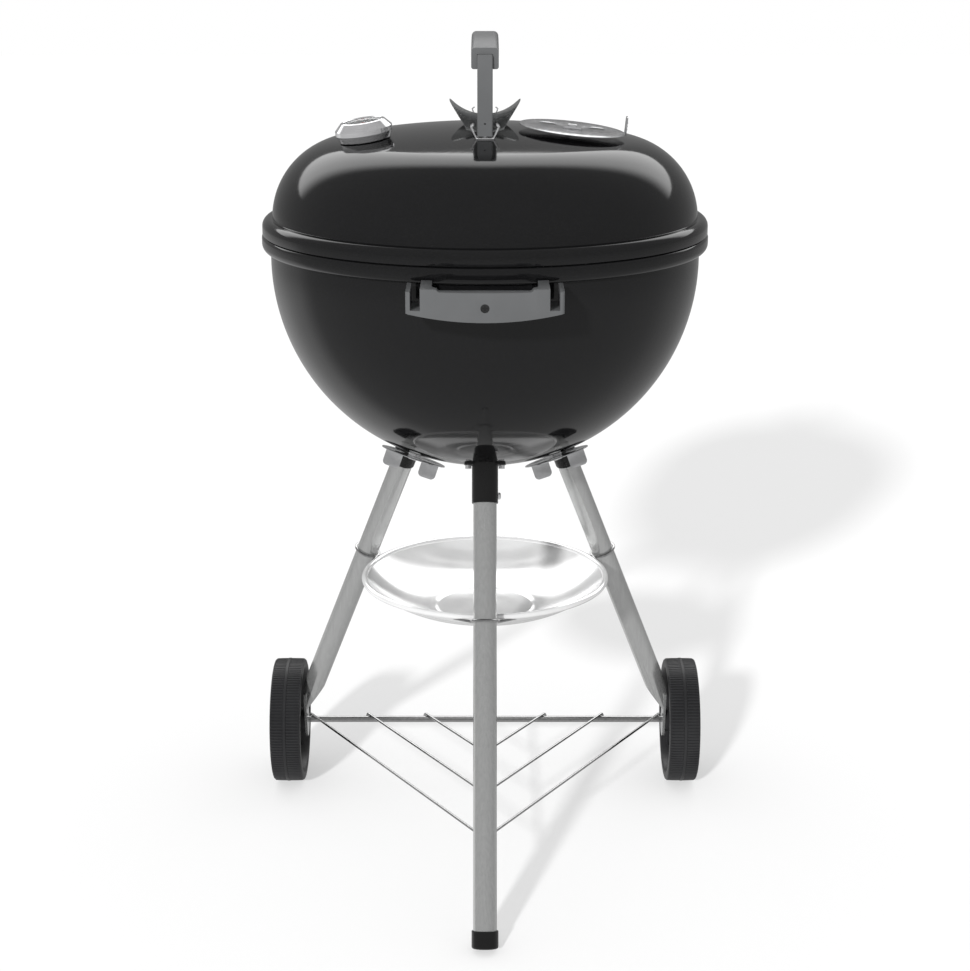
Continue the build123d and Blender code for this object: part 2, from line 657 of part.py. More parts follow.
def make_handle_screw():
    head_y = HANDLE_FRONT - 3.2
    shank = rod((0, -head_y, HANDLE_SCREW_Z), (0, -(STRAP_FRONT - STRAP_THICK - 1.5), HANDLE_SCREW_Z), 2.3)
    head = rod((0, -head_y - 2.2, HANDLE_SCREW_Z), (0, -head_y, HANDLE_SCREW_Z), 4.2)
    cross = Box(5.0, 2.0, 1.1) + Box(1.1, 2.0, 5.0)
    return shank + head - Pos(0, -head_y - 2.2, HANDLE_SCREW_Z) * cross


# ---------------------------------------------------------------- lid
def lid_flange():
    """Outward flange: a quarter round, a short skirt and a hem that sits over the bowl's rim."""
    wall = LID_WALL_RADIUS
    round_r = 9.0
    centre = (FLANGE_RADIUS - round_r, FLANGE_TOP_Z - round_r)
    inner = FLANGE_RADIUS - SHEET
    hem = FLANGE_RADIUS - 3.0
    return spin(
        Line(at(wall - SHEET, FLANGE_TOP_Z), at(centre[0], FLANGE_TOP_Z)),
        arc_between(centre, round_r, 90, 0),
        Line(at(FLANGE_RADIUS, centre[1]), at(FLANGE_RADIUS, LID_HEM_Z)),
        Line(at(FLANGE_RADIUS, LID_HEM_Z), at(hem, LID_HEM_Z)),
        Line(at(hem, LID_HEM_Z), at(hem, LID_HEM_Z + SHEET)),
        Line(at(hem, LID_HEM_Z + SHEET), at(inner, LID_HEM_Z + SHEET)),
        Line(at(inner, LID_HEM_Z + SHEET), at(inner, centre[1])),
        arc_between(centre, round_r - SHEET, 0, 90),
        Line(at(centre[0], FLANGE_TOP_Z - SHEET), at(wall - SHEET, FLANGE_TOP_Z - SHEET)),
        Line(at(wall - SHEET, FLANGE_TOP_Z - SHEET), at(wall - SHEET, FLANGE_TOP_Z)))


def make_lid():
    low = FLANGE_TOP_Z - SHEET
    lid = lid_filled(0, low) - lid_filled(SHEET, low) + lid_flange()
    damper = lid_plane(*LID_DAMPER_XY)
    gauge = lid_plane(*GAUGE_XY)
    cutters = [damper * Rot(0, 0, azimuth) * Pos(LID_HOLE_CIRCLE, 0, 0) * tube_z(LID_DAMPER_HOLE, -10, 10)
               for azimuth in LID_HOLE_AZIMUTHS]
    cutters.append(damper * tube_z(3.05, -10, 10))
    cutters.append(gauge * tube_z(5.1, -20, 20))
    for y in (-ARM_Y, ARM_Y):
        cutters.append(lid_plane(0, y) * tube_z(2.6, -10, 10))
    return lid - cutters


def make_handle_clip(side):
    """Chrome bracket under one arm: a flat foot with two flared, curled ears."""
    plane = lid_plane(0, side * ARM_Y)
    half = 9.4
    foot = Pos(0, 0, 0.75) * Box(2 * half, 15, 1.3)
    foot = foot - tube_z(2.6, -5, 5)
    ears = []
    for way in (-1, 1):
        outline = Plane.XZ * make_face(Polyline(
            (way * (half - 1.3), 0.1), (way * half, 0.1), (way * 14.6, 10.2), (way * 15.3, 13.0),
            (way * 12.2, 15.0), (way * 11.6, 13.8), (way * 13.6, 12.4), (way * 13.2, 10.8),
            (way * (half - 1.0), 1.4), close=True))
        ears.append(Pos(0, 5.5, 0) * extrude(outline, 11))
    return plane * (foot + ears[0] + ears[1])


def make_lid_handle():
    """Two flat arms joined by a bar that runs inside the grip."""
    rail_low, rail_high = GRIP_LOW_Z + 5.0, GRIP_LOW_Z + 15.0
    outline = Plane.YZ * make_face(Polyline(
        (-ARM_Y - ARM_DEPTH / 2, lid_surface_z(ARM_Y) + 1.6 + ARM_DEPTH / 2 * 0.12),
        (-ARM_Y + ARM_DEPTH / 2, lid_surface_z(ARM_Y) + 1.6 + ARM_DEPTH / 2 * 0.12),
        (-ARM_Y + ARM_DEPTH / 2 + 6, rail_low),
        (ARM_Y - ARM_DEPTH / 2 - 6, rail_low),
        (ARM_Y - ARM_DEPTH / 2, lid_surface_z(ARM_Y) + 1.6 + ARM_DEPTH / 2 * 0.12),
        (ARM_Y + ARM_DEPTH / 2, lid_surface_z(ARM_Y) + 1.6 + ARM_DEPTH / 2 * 0.12),
        (ARM_Y + ARM_DEPTH / 2 - 6, rail_high),
        (-ARM_Y - ARM_DEPTH / 2 + 6, rail_high), close=True))
    arms = Pos(-ARM_WIDTH / 2, 0, 0) * extrude(outline, ARM_WIDTH)
    rounded = [edge for edge in arms.edges() if abs(edge.center().X) > ARM_WIDTH / 2 - 0.1]
    arms = fillet(rounded, 1.5)
    for y in (-ARM_Y, ARM_Y):
        arms -= lid_plane(0, y) * tube_z(2.6, -5, 16)
    return arms - tongue_blank(0.1)


def rail_blank(grow):
    """The handle's bar over the grip's length, grown by a clearance."""
    low, high = GRIP_LOW_Z + 5.0 - grow, GRIP_LOW_Z + 15.0 + grow
    return Pos(0, 0, (low + high) / 2) * Box(ARM_WIDTH + 2 * grow, 300, high - low)


def make_grip():
    """Fatter sleeve over the handle's bar, crowned along its length."""
    half_length = ARM_Y - 6.0
    rise = GRIP_MID_TOP_Z - GRIP_END_TOP_Z
    crown = (half_length ** 2 + rise ** 2) / (2 * rise)
    side = Pos(0, 0, 0) * (Plane.YZ * make_face([
        Line((-half_length, GRIP_LOW_Z), (half_length, GRIP_LOW_Z)),
        Line((half_length, GRIP_LOW_Z), (half_length, GRIP_END_TOP_Z)),
        RadiusArc((half_length, GRIP_END_TOP_Z), (-half_length, GRIP_END_TOP_Z), -crown),
        Line((-half_length, GRIP_END_TOP_Z), (-half_length, GRIP_LOW_Z))]))
    body = Pos(-GRIP_WIDTH / 2, 0, 0) * extrude(side, GRIP_WIDTH)
    long_top = [edge for edge in body.edges() if edge.center().Z > GRIP_END_TOP_Z + 4]
    body = fillet(long_top, 5.0)
    long_low = [edge for edge in body.edges()
                if abs(edge.center().Z - GRIP_LOW_Z) < 0.1 and abs(edge.center().Y) < 1]
    body = fillet(long_low, 2.5)
    wire_room = rail_blank(0.1)
    arm_room = [Pos(0, side_y * (half_length - 1), GRIP_LOW_Z + 7.5) * Box(ARM_WIDTH + 0.2, 14, 15.2)
                for side_y in (-1, 1)]
    return body - wire_room - arm_room[0] - arm_room[1]


SHIELD_END_Z = 836.9


def make_heat_shield():
    """Saddle-shaped plate: arched front to back, with two raised wings at its middle."""
    sections = []
    for y, half, mid_z, rise in ((-78, 20, SHIELD_END_Z, 2.5), (-40, 30, 843.5, 9.0), (0, 38.5, 846.5, 17.0),
                                 (40, 30, 843.5, 9.0), (78, 20, SHIELD_END_Z, 2.5)):
        bow = (half ** 2 + rise ** 2) / (2 * rise)
        top = ThreePointArc((-half, y, mid_z + rise), (0, y, mid_z), (half, y, mid_z + rise))
        low = ThreePointArc((half, y, mid_z + rise - 1.2), (0, y, mid_z - 1.2), (-half, y, mid_z + rise - 1.2))
        ends = [Line((half, y, mid_z + rise), (half, y, mid_z + rise - 1.2)),
                Line((-half, y, mid_z + rise - 1.2), (-half, y, mid_z + rise))]
        sections.append(make_face([top, ends[0], low, ends[1]]))
    return loft(sections) + tongue_blank(0)


def tongue_blank(grow):
    """The narrow ends of the shield that sit in slots in the handle's arms."""
    return Pos(0, 0, SHIELD_END_Z - 0.6) * (Box(11.0 + 2 * grow, 2 * (ARM_Y - 4.0 + grow), 1.2 + 2 * grow)
                                            - Box(13.0, 150.0, 4.0))


def make_handle_rivets():
    rivets = []
    for y in (-ARM_Y, ARM_Y):
        rivet = tube_z(2.5, -4.0, 14.0) + hexagon_z(8.0, -4.6, -1.35)
        rivets.append((lid_plane(0, y) * rivet).solids()[0])
    return Compound(children=rivets)


# ---------------------------------------------------------------- lid damper
def lid_damper_plane():
    """At the underside of the disc's centre."""
    return lid_plane(*LID_DAMPER_XY) * Pos(0, 0, LID_DAMPER_LIFT)


def make_lid_damper():
    """Aluminium disc with two holes and an upright ribbed tab at its outer edge."""
    disc = tube_z(LID_DAMPER_RADIUS, 0, DAMPER_SHEET)
    for azimuth in LID_HOLE_AZIMUTHS:
        disc -= Rot(0, 0, azimuth) * Pos(LID_HOLE_CIRCLE, 0, 0) * tube_z(LID_DAMPER_HOLE, -1, 3)
    disc -= tube_z(3.05, -1, 3)
    tab = Pos(LID_DAMPER_RADIUS + 0.2, 0, 9.5) * Box(1.4, 17, 19)
    tab = fillet(tab.edges().filter_by(Axis.X).group_by(Axis.Z)[-1], 4.0)
    ribs = [Pos(LID_DAMPER_RADIUS + 1.1, 0, height) * Box(0.8, 13, 1.6) for height in (6, 9.5, 13)]
    return lid_damper_plane() * (disc + tab + ribs[0] + ribs[1] + ribs[2])


def make_lid_damper_rivet():
    """Rivet with its spring plate above the disc, and a washer stack below it."""
    stack = tube_z(7.0, -LID_DAMPER_LIFT + 0.1, -0.1)
    shank = tube_z(3.0, -LID_DAMPER_LIFT - 3.5, DAMPER_SHEET + 3.0)
    tail = tube_z(5.0, -LID_DAMPER_LIFT - 3.6, -LID_DAMPER_LIFT - 1.3)
    dome = tube_z(5.2, DAMPER_SHEET + 2.1, DAMPER_SHEET + 4.4)
    dome = fillet(dome.edges().sort_by(Axis.Z)[-1], 1.8)
    return lid_damper_plane() * (stack + shank + tail + dome)


def make_lid_damper_spring():
    """Rectangular spring plate held by the rivet on top of the disc."""
    plate = Pos(0, 0, DAMPER_SHEET + 1.15) * Box(21, 17, 1.8)
    plate = fillet(plate.edges().filter_by(Axis.Z), 2.5)
    return lid_damper_plane() * (plate - tube_z(3.02, 0, 5))


# ---------------------------------------------------------------- bowl dampers
def make_bowl_damper():
    """Disc under the bowl with two rounded tabs bent down at one side."""
    gap = 3.1
    disc = tube_z(BOWL_DAMPER_RADIUS, gap, gap + DAMPER_SHEET)
    for step in range(4):
        disc -= Rot(0, 0, 90 * step) * Pos(VENT_CIRCLE_RADIUS, 0, 0) * tube_z(VENT_HOLE_RADIUS, 0, 9)
    disc -= tube_z(3.05, -1, 9)
    for way in (-1, 1):
        tab = Pos(20.0, way * 21.0, gap + 10.5) * Box(1.2, 20, 21)
        tab = fillet(tab.edges().filter_by(Axis.X).group_by(Axis.Z)[-1], 5.0)
        disc += tab
    return disc


def make_bowl_damper_rivet():
    gap = 3.1
    shank = tube_z(3.0, -3.0, gap + DAMPER_SHEET + 1.6)
    washer = tube_z(6.0, 0.35, gap - 0.1)
    head = tube_z(6.5, gap + DAMPER_SHEET + 0.1, gap + DAMPER_SHEET + 3.4)
    head = fillet(head.edges().sort_by(Axis.Z)[-1], 2.6)
    tail = tube_z(5.0, -3.4, -1.5)
    return shank + washer + head + tail


# How far each damper's tabs are turned about its rivet, so that all of them are on its rear side.
BOWL_DAMPER_TURN = {"rear": 180.0, "left": -60.0, "right": 60.0}


# ---------------------------------------------------------------- thermometer
def gauge_plane():
    return lid_plane(*GAUGE_XY)


def make_gauge_bezel():
    """Chrome housing: narrower at its foot, full width at its middle and bevelled to its glass."""
    low = 0.6
    foot_r, full_r, top_r = GAUGE_RADIUS - 3.5, GAUGE_RADIUS, GAUGE_RADIUS - 8.0
    points = [at(5.05, low), at(foot_r, low), at(full_r - 0.6, low + 6.0), at(full_r, low + 7.2),
              at(full_r, low + 12.0), at(top_r + 1.2, GAUGE_HEIGHT - 0.7), at(top_r - 0.6, GAUGE_HEIGHT),
              at(top_r - 2.0, GAUGE_HEIGHT - 0.8), at(top_r - 2.0, 8.0), at(5.05, 8.0)]
    lines = [Line(points[i - 1], points[i]) for i in range(len(points))]
    return gauge_plane() * spin(*lines)


def make_gauge_dial():
    return gauge_plane() * spin_box(1.3, GAUGE_RADIUS - 10.2, 13.0, 14.0)


def make_gauge_glass():
    return gauge_plane() * tube_z(GAUGE_RADIUS - 10.1, GAUGE_HEIGHT - 3.0, GAUGE_HEIGHT - 1.4)


def make_gauge_stem():
    """Bimetal probe from the housing down into the kettle."""
    return gauge_plane() * (tube_z(5.0, -14.0, 8.0) + tube_z(2.4, -62.0, -14.0))


def make_gauge_nut():
    return gauge_plane() * (hexagon_z(15.0, -6.5, -1.5) - tube_z(5.02, -10, 5))


def make_gauge_needle():
    """Pointer on its arbor above the dial."""
    hub = tube_z(2.4, 14.4, 16.0) + tube_z(1.2, 8.3, 15.0)
    pointer = Pos(0, 0, 14.7) * extrude(make_face(Polyline(
        (-6.0, -1.3), (0, -1.5), (17.0, -0.35), (17.0, 0.35), (0, 1.5), (-6.0, 1.3), close=True)), 0.6)
    return gauge_plane() * Rot(0, 0, 215) * (hub + pointer)


# ---------------------------------------------------------------- write every node
def main():
    write("bowl", make_bowl())
    write("grate_rests", make_grate_rests())
    for name, azimuth in LEG_AZIMUTH.items():
        write(f"leg_socket_{name}", turned(make_socket(name), azimuth))
        write(f"ash_clip_{name}", turned(make_ash_clip(), azimuth))
    write("socket_bolts", make_socket_bolts())
    screws = [turned(make_leg_screw(name), azimuth).solids()[0] for name, azimuth in LEG_AZIMUTH.items()]
    write("leg_screws", Compound(children=screws))
    write("leg_front", make_front_leg())
    write("leg_right", make_rear_leg("right", 1))
    write("leg_left", make_rear_leg("left", -1))
    write("foot_cap", make_foot_cap())
    write("axle", make_axle())
    write("hub_caps", make_hub_caps())
    write("wheel_right", make_wheel(1))
    write("wheel_left", make_wheel(-1))
    write("bottom_shelf", make_shelf())
    write("ash_pan", make_ash_pan())
    for name, azimuth in (("front", 0), ("rear", 180)):
        write(f"{name}_handle", turned(make_handle(), azimuth))
        write(f"{name}_handle_bracket", turned(make_handle_bracket(), azimuth))
    screws = [turned(make_handle_screw(), azimuth).solids()[0] for azimuth in (0, 180)]
    write("handle_screws", Compound(children=screws))
    rivets = []
    for name, azimuth in BOWL_DAMPER_AZIMUTH.items():
        place = Rot(0, 0, azimuth) * bowl_damper_plane().location
        write(f"bottom_damper_{name}", place * Rot(0, 0, BOWL_DAMPER_TURN[name]) * make_bowl_damper())
        rivets.append((place * make_bowl_damper_rivet()).solids()[0])
    write("bottom_damper_rivets", Compound(children=rivets))
    write("charcoal_grate", make_charcoal_grate())
    write("cooking_grate", make_cooking_grate())
    write("cooking_grate_handles", make_grate_handles())
    write("lid", make_lid())
    write("lid_handle_arms", make_lid_handle())
    write("lid_handle_grip", make_grip())
    write("lid_handle_clip_front", make_handle_clip(-1))
    write("lid_handle_clip_rear", make_handle_clip(1))
    write("lid_handle_rivets", make_handle_rivets())
    write("heat_shield", make_heat_shield())
    write("lid_damper", make_lid_damper())
    write("lid_damper_rivet", make_lid_damper_rivet())
    write("lid_damper_spring", make_lid_damper_spring())
    write("thermometer_bezel", make_gauge_bezel())
    write("thermometer_dial", make_gauge_dial())
    write("thermometer_glass", make_gauge_glass())
    write("thermometer_stem", make_gauge_stem())
    write("thermometer_nut", make_gauge_nut())
    write("thermometer_needle", make_gauge_needle())


main()
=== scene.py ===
import bmesh
import bpy
import math
from mathutils import Matrix, Vector


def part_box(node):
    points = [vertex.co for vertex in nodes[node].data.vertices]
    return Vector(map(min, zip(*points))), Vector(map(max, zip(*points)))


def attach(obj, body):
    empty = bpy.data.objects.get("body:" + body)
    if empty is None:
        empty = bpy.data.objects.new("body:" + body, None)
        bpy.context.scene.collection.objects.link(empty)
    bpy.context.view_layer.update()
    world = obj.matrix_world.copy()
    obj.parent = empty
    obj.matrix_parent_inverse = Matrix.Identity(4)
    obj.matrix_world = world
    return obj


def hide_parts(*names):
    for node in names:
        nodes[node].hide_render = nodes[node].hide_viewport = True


# Kettle charcoal grill: looks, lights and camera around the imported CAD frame. Metres, +Z up, -Y front.

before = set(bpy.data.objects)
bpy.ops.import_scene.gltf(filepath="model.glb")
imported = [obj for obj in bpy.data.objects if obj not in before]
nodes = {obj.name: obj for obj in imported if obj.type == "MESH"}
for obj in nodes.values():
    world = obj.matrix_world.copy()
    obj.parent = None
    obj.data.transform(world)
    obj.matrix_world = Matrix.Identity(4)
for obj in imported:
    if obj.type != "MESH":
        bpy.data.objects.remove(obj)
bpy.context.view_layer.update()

MM = 0.001
KETTLE_Y = 8.0                 # the kettle's axis, as in the CAD
LEG_LEAN = 23.66
LEG_AZIMUTHS = {"leg_front": -90.0, "leg_right": 30.0, "leg_left": 150.0}

# bowl and lid, in millimetres about the kettle's axis
SHEET = 1.2
NADIR_Z, BASE_R, WALL_R, WALL_Z = 459.8, 245.2, 235.9, 692.5
RIM_R, RIM_TOP_Z, RIM_HEIGHT = 245.2, 721.0, 18.0
LID_TOP_Z, DOME_R, SHOULDER_R, LID_WALL_R = 836.7, 900.0, 88.0, 233.4
HEM_Z, FLANGE_Z, FLANGE_R = 721.6, 738.6, 244.5
PAN_R, PAN_RIM_Z, PAN_FLOOR_Z = 143.3, 320.7, 281.0

# wheels
WHEEL_R, WHEEL_IN, WHEEL_OUT = 77.5, 227.8, 265.3
AXLE_Y, AXLE_Z = 143.17, 77.5
RIBS = 128                     # moulded ribs round a tread
RIB_STEPS = 8                  # turn steps for each rib
GROOVE = 1.1                   # depth between ribs
SPOKES = 10

# vents: (azimuth, turn of the disc about its rivet) of each bowl damper, and the lid's damper
BOWL_DAMPERS = ((90, 180), (210, -60), (330, 60))
BOWL_DAMPER_R, VENT_CIRCLE, VENT_R = 91.0, 20.0, 7.0
LID_DAMPER_XY = (93.0, -33.0)
LID_HOLE_AZIMUTHS, LID_HOLE_CIRCLE, LID_HOLE_R = (25, 150), 30.0, 9.0
RIVET_HOLE_R = 3.1

# studio, in directions and strengths
AMBIENT = 0.93                 # diffuse light of the room
BACKDROP = 1.0                 # what the camera sees past the floor
ROOM_GLOW = 0.25               # the room in reflections
BOX_FADE = (0.34, 0.56)        # the softbox's near edge fades between these
BOX_GLOW = 1.85
GROUND_LEFT, GROUND_RIGHT = 0.30, 0.05
BELOW_GLOW = 0.12
KEY_DIRECTION = (0.37, 1.0, -0.459)
KEY_ENERGY, KEY_ANGLE = 3.9, 4.0
FLOOR_REACH, FLOOR_ALBEDO, FLOOR_GLOW = 14.0, 0.45, 0.39
CAMERA_PLACE = (0, -2.08684, 1.04483)
CAMERA_PITCH, CAMERA_LENS, CAMERA_SENSOR = 16.45, 70.47, 36


# the bowl's side is one arc, from the foot of its wall to its base
BOWL_DROP = NADIR_Z + BASE_R - WALL_Z
BOWL_SIDE = (WALL_R ** 2 + BOWL_DROP ** 2 - BASE_R ** 2) / (2 * (WALL_R - BASE_R))


# ---------------------------------------------------------------- mesh helpers
def new_object(name, mesh):
    obj = bpy.data.objects.new(name, mesh)
    bpy.context.scene.collection.objects.link(obj)
    return obj


def smooth(obj, angle=38):
    """Smooth shading with creases where faces meet at more than the angle, in degrees."""
    mesh = obj.data
    for polygon in mesh.polygons:
        polygon.use_smooth = True
    mesh.set_sharp_from_angle(angle=math.radians(angle))


def arc(centre, radius, start, end, steps):
    """Points of an arc in a profile, in degrees from +r towards +z."""
    points = []
    for i in range(steps + 1):
        angle = math.radians(start + (end - start) * i / steps)
        points.append((centre[0] + radius * math.cos(angle), centre[1] + radius * math.sin(angle)))
    return points


def lathe(name, profile, segments, place, radius_at=None):
    """A closed (r, z) profile in millimetres turned about a local Z; points at r = 0 are shared.

    radius_at(step, point_index, r) can change a radius round the turn.
    """
    bm = bmesh.new()
    rings = []
    for index, (r, z) in enumerate(profile):
        if r < 1e-6:
            rings.append([bm.verts.new((0, 0, z * MM))] * segments)
            continue
        ring = []
        for step in range(segments):
            angle = 2 * math.pi * step / segments
            rr = r if radius_at is None else radius_at(step, index, r)
            ring.append(bm.verts.new((rr * MM * math.cos(angle), rr * MM * math.sin(angle), z * MM)))
        rings.append(ring)
    count = len(rings)
    for index in range(count):
        low, high = rings[index], rings[(index + 1) % count]
        for step in range(segments):
            following = (step + 1) % segments
            corners = []
            for vert in (low[step], low[following], high[following], high[step]):
                if vert not in corners:
                    corners.append(vert)
            if len(corners) >= 3:
                bm.faces.new(corners)
    bmesh.ops.recalc_face_normals(bm, faces=bm.faces)
    bm.transform(place)
    mesh = bpy.data.meshes.new(name)
    bm.to_mesh(mesh)
    bm.free()
    return new_object(name, mesh)


KETTLE = Matrix.Translation((0, KETTLE_Y * MM, 0))


def cylinder_cutter(bm, matrix, radius, low, high, sides=40):
    """Adds a closed cylinder along the matrix's Z to a cutter mesh; sizes in millimetres."""
    made = bmesh.ops.create_cone(bm, cap_ends=True, segments=sides, depth=(high - low) * MM,
                                 radius1=radius * MM, radius2=radius * MM)
    shift = Matrix.Translation((0, 0, (low + high) / 2 * MM))
    bmesh.ops.transform(bm, matrix=matrix @ shift, verts=made["verts"])


def cut(obj, bm):
    """Subtracts the cutter mesh from an object and frees the cutter."""
    mesh = bpy.data.meshes.new("cutter")
    bm.to_mesh(mesh)
    bm.free()
    cutter = new_object("cutter", mesh)
    modifier = obj.modifiers.new("holes", "BOOLEAN")
    modifier.object = cutter
    modifier.operation = "DIFFERENCE"
    modifier.solver = "EXACT"
    graph = bpy.context.evaluated_depsgraph_get()
    result = bpy.data.meshes.new_from_object(obj.evaluated_get(graph))
    obj.modifiers.clear()
    obj.data = result
    bpy.data.objects.remove(cutter)


def frame_matrix(origin, normal, x_hint):
    """A matrix whose Z is the normal and whose X is nearest x_hint; origin in millimetres."""
    z = Vector(normal).normalized()
    x = (Vector(x_hint) - z * Vector(x_hint).dot(z)).normalized()
    y = z.cross(x)
    turn = Matrix((x, y, z)).transposed().to_4x4()
    return Matrix.Translation(Vector(origin) * MM) @ turn


def lid_frame(x, y):
    """On the lid's dome, Z out of the lid; x and y are from the kettle's axis."""
    z = LID_TOP_Z - DOME_R + math.sqrt(DOME_R ** 2 - x * x - y * y)
    return frame_matrix((x, y + KETTLE_Y, z), (x, y, z - LID_TOP_Z + DOME_R), (1, 0, 0))


def stand_for(obj, body, slot, material, *replaced):
    """Rides a new piece on its body, gives it the material, and hides the nodes it stands for. The slot
    argument is not used.
    """
    obj.data.materials.clear()
    obj.data.materials.append(material)
    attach(obj, body)
    if replaced:
        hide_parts(*replaced)
    return obj


# ---------------------------------------------------------------- materials
def material(name, base, roughness, metallic=0.0):
    """A new material, its nodes, its links and its shader."""
    mat = bpy.data.materials.new(name)
    mat.use_nodes = True
    shader = mat.node_tree.nodes["Principled BSDF"]
    shader.inputs["Base Color"].default_value = (*base, 1)
    shader.inputs["Roughness"].default_value = roughness
    shader.inputs["Metallic"].default_value = metallic
    return mat, mat.node_tree.nodes, mat.node_tree.links, shader


def coordinates(tree_nodes, links, scale=(1, 1, 1), turn=(0, 0, 0)):
    """Object coordinates, which are the shared frame's, scaled and then turned."""
    where = tree_nodes.new("ShaderNodeTexCoord")
    mapping = tree_nodes.new("ShaderNodeMapping")
    mapping.vector_type = "POINT"
    mapping.inputs["Rotation"].default_value = turn
    mapping.inputs["Scale"].default_value = scale
    links.new(where.outputs["Object"], mapping.inputs["Vector"])
    return mapping.outputs["Vector"]


def noise(tree_nodes, links, vector, scale, detail=3.0, rough=0.55):
    """A noise pattern over a vector, 0 to 1."""
    texture = tree_nodes.new("ShaderNodeTexNoise")
    texture.inputs["Scale"].default_value = scale
    texture.inputs["Detail"].default_value = detail
    texture.inputs["Roughness"].default_value = rough
    links.new(vector, texture.inputs["Vector"])
    return texture.outputs["Fac"]


def spread(tree_nodes, links, value, low, high, from_low=0.3, from_high=0.7):
    """Maps a 0 to 1 value onto a range."""
    node = tree_nodes.new("ShaderNodeMapRange")
    node.inputs["From Min"].default_value = from_low
    node.inputs["From Max"].default_value = from_high
    node.inputs["To Min"].default_value = low
    node.inputs["To Max"].default_value = high
    links.new(value, node.inputs["Value"])
    return node.outputs["Result"]


def two_colours(tree_nodes, links, value, first, second, low=0.3, high=0.7):
    """A colour that goes from the first to the second as the value goes from low to high."""
    ramp = tree_nodes.new("ShaderNodeValToRGB")
    ramp.color_ramp.elements[0].position = low
    ramp.color_ramp.elements[0].color = (*first, 1)
    ramp.color_ramp.elements[1].position = high
    ramp.color_ramp.elements[1].color = (*second, 1)
    links.new(value, ramp.inputs["Fac"])
    return ramp.outputs["Color"]


def bump(tree_nodes, links, shader, height, strength, distance):
    """Fine relief, in metres."""
    node = tree_nodes.new("ShaderNodeBump")
    node.inputs["Strength"].default_value = strength
    node.inputs["Distance"].default_value = distance
    links.new(height, node.inputs["Height"])
    links.new(node.outputs["Normal"], shader.inputs["Normal"])


def enamel():
    """Black vitreous enamel: deep gloss, faint orange peel and very faint dust."""
    mat, tn, links, shader = material("black_enamel", (0.004, 0.004, 0.0042), 0.07)
    vector = coordinates(tn, links)
    peel = noise(tn, links, vector, 170, 2)
    bump(tn, links, shader, peel, 0.035, 0.0006)
    cloud = noise(tn, links, vector, 9, 4)
    links.new(spread(tn, links, cloud, 0.05, 0.10), shader.inputs["Roughness"])
    speck = noise(tn, links, vector, 900, 1)
    colour = two_colours(tn, links, speck, (0.0035, 0.0035, 0.0037), (0.007, 0.007, 0.0075), 0.45, 0.8)
    links.new(colour, shader.inputs["Base Color"])
    return mat


def plastic(name, dark, light, roughness, grain_scale, grain, patch=14):
    """Moulded plastic with a fine grain and slight patches in its tone and sheen."""
    mat, tn, links, shader = material(name, dark, roughness)
    vector = coordinates(tn, links)
    tone = noise(tn, links, vector, patch, 4)
    links.new(two_colours(tn, links, tone, dark, light), shader.inputs["Base Color"])
    fine = noise(tn, links, vector, grain_scale, 2)
    links.new(spread(tn, links, tone, roughness - 0.04, roughness + 0.06), shader.inputs["Roughness"])
    bump(tn, links, shader, fine, grain, 0.0004)
    return mat


def metal(name, dark, light, rough_low, rough_high, metallic=1.0, scale=(1, 1, 1), turn=(0, 0, 0),
          frequency=60, ripple=0.05):
    """Metal with streaks or patches: scale and turn stretch the pattern along the grain."""
    mat, tn, links, shader = material(name, light, rough_high, metallic)
    vector = coordinates(tn, links, scale, turn)
    grain = noise(tn, links, vector, frequency, 5, 0.6)
    links.new(two_colours(tn, links, grain, dark, light), shader.inputs["Base Color"])
    links.new(spread(tn, links, grain, rough_low, rough_high), shader.inputs["Roughness"])
    bump(tn, links, shader, grain, ripple, 0.0003)
    return mat


def lathe_metal(name, dark, light, rough_low, rough_high, centre, rings=220, ripple=0.05, metallic=1.0):
    """Spun or pressed metal: fine rings about a vertical axis through centre, over soft patches."""
    mat, tn, links, shader = material(name, light, rough_high, metallic)
    where = tn.new("ShaderNodeTexCoord")
    shift = tn.new("ShaderNodeMapping")
    shift.inputs["Location"].default_value = (-centre[0], -centre[1], 0)
    links.new(where.outputs["Object"], shift.inputs["Vector"])
    split = tn.new("ShaderNodeSeparateXYZ")
    links.new(shift.outputs["Vector"], split.inputs["Vector"])
    flat = tn.new("ShaderNodeCombineXYZ")
    links.new(split.outputs["X"], flat.inputs["X"])
    links.new(split.outputs["Y"], flat.inputs["Y"])
    length = tn.new("ShaderNodeVectorMath")
    length.operation = "LENGTH"
    links.new(flat.outputs["Vector"], length.inputs[0])
    radial = tn.new("ShaderNodeCombineXYZ")
    links.new(length.outputs["Value"], radial.inputs["X"])
    links.new(split.outputs["Z"], radial.inputs["Y"])
    fine = noise(tn, links, radial.outputs["Vector"], rings, 3, 0.7)
    patch = noise(tn, links, shift.outputs["Vector"], 30, 4)
    mix = tn.new("ShaderNodeMath")
    mix.operation = "ADD"
    links.new(fine, mix.inputs[0])
    links.new(patch, mix.inputs[1])
    links.new(two_colours(tn, links, patch, dark, light), shader.inputs["Base Color"])
    rough = spread(tn, links, mix.outputs["Value"], rough_low, rough_high, 0.7, 1.3)
    links.new(rough, shader.inputs["Roughness"])
    bump(tn, links, shader, fine, ripple, 0.0003)
    return mat


def leg_metal(node, azimuth):
    """Bright aluminised tube with fine streaks along the leg."""
    turn = Matrix.Rotation(math.radians(-LEG_LEAN), 3, "Y") @ Matrix.Rotation(math.radians(-azimuth), 3, "Z")
    return metal(f"satin_tube_{node}", (0.60, 0.605, 0.60), (0.68, 0.685, 0.68), 0.16, 0.22, 0.86,
                 scale=(1, 1, 0.03), turn=turn.to_euler(), frequency=420, ripple=0.015)


